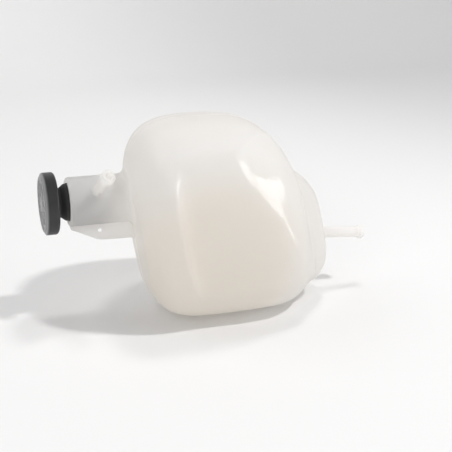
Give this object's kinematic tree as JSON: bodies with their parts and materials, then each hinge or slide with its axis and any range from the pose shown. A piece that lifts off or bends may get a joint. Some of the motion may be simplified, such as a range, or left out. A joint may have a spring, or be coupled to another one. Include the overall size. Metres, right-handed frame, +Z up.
{
  "type": "coolant expansion tank",
  "caption": "Blown translucent coolant tank with a filler neck, a push-in cap on a rubber bung, an overflow nipple on the neck and an outlet nipple at the domed end.",
  "frame": {"origin": "middle of the overall length and depth, on the surface that the tank lies on", "axes": "+X along the filler neck's axis from the cap to the outlet nipple, +Z up, -Y towards the flat front panel"},
  "size_m": [0.2426, 0.1352, 0.139],
  "materials": {
    "tank_plastic": "translucent natural plastic, semi-gloss",
    "cap_plastic": "black moulded plastic, satin",
    "bung_rubber": "black rubber, matt"
  },
  "bodies": {
    "tank": {"tank_body": "tank_plastic"},
    "cap": {"cap_head": "cap_plastic", "cap_bung": "bung_rubber"}
  },
  "joints": [
    {"name": "cap_slide", "type": "slide", "parent": "tank", "child": "cap", "axis": [-1, 0, 0], "range_m": [-0.007, 0.045]}
  ]
}
